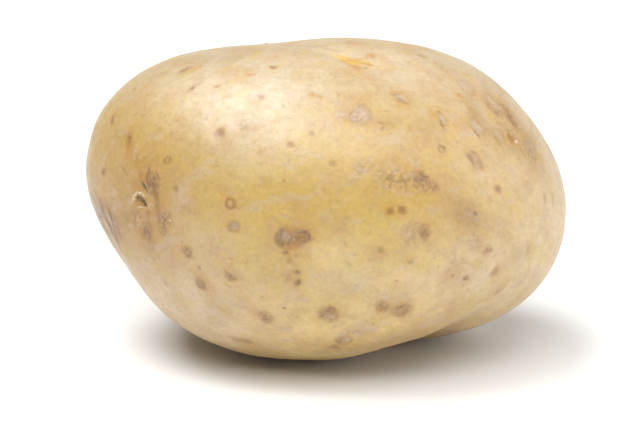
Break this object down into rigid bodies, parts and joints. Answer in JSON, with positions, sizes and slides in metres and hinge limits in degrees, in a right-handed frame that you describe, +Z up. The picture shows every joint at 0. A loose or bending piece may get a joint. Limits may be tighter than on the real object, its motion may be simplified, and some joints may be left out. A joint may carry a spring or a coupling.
{
  "type": "potato",
  "caption": "Whole raw potato with pale yellow skin, shallow eyes and a small flat spot on its underside that it rests on.",
  "frame": {"origin": "on the surface that the potato rests on, under the middle of its bounding box", "axes": "+X along the potato's length, from the narrow end to the blunt end; -Y towards its front; +Z up"},
  "size_m": [0.1022, 0.073, 0.0674],
  "materials": {
    "potato_skin": "satin"
  },
  "bodies": {
    "root": {"potato": "potato_skin"}
  },
  "joints": []
}
